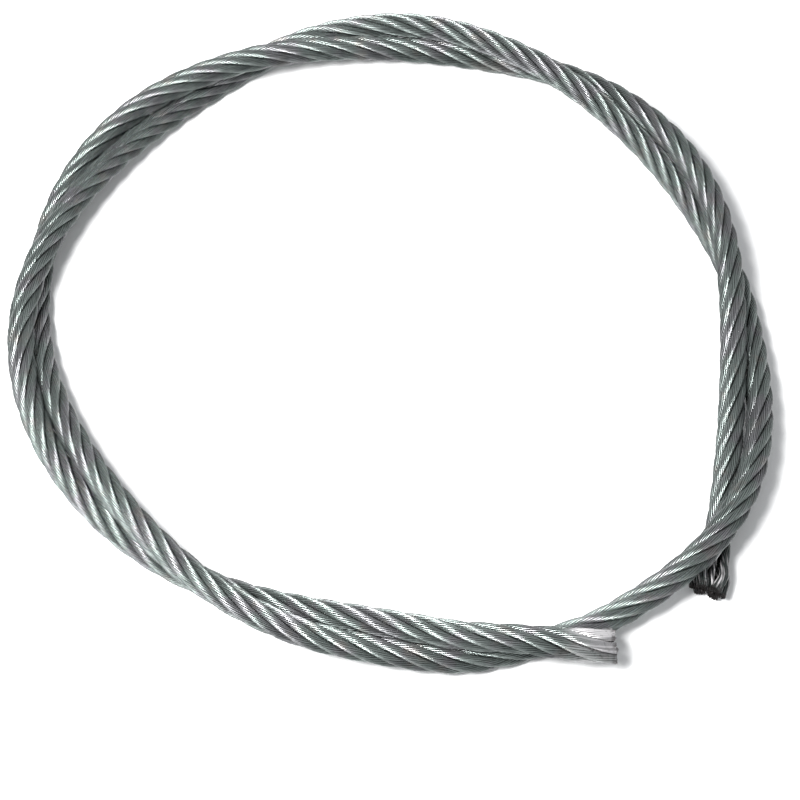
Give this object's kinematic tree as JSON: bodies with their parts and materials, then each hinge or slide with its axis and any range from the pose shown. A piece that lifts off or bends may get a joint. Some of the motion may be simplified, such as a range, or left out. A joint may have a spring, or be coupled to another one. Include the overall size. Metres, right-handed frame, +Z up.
{
  "type": "coil of wire rope",
  "caption": "Cut length of galvanised wire rope, bent into a flat ring whose runs twist round each other, with both cut ends loose.",
  "frame": {"origin": "middle of the coil's box, at the height of the floor that it lies on", "axes": "+Z up, across the flat ring; seen from above, end A lies near -Y and the rope runs from it clockwise"},
  "size_m": [0.1726, 0.1736, 0.0126],
  "materials": {
    "strand_steel": "zinc-coated steel wires, dull grey with bright highlights along the strands",
    "core_steel": "zinc-coated steel wires, darker, seen only at the cut ends"
  },
  "bodies": {
    "root": {"strand_1": "strand_steel", "strand_2": "strand_steel", "strand_3": "strand_steel", "strand_4": "strand_steel", "strand_5": "strand_steel", "strand_6": "strand_steel", "core_strand": "core_steel"}
  },
  "joints": []
}
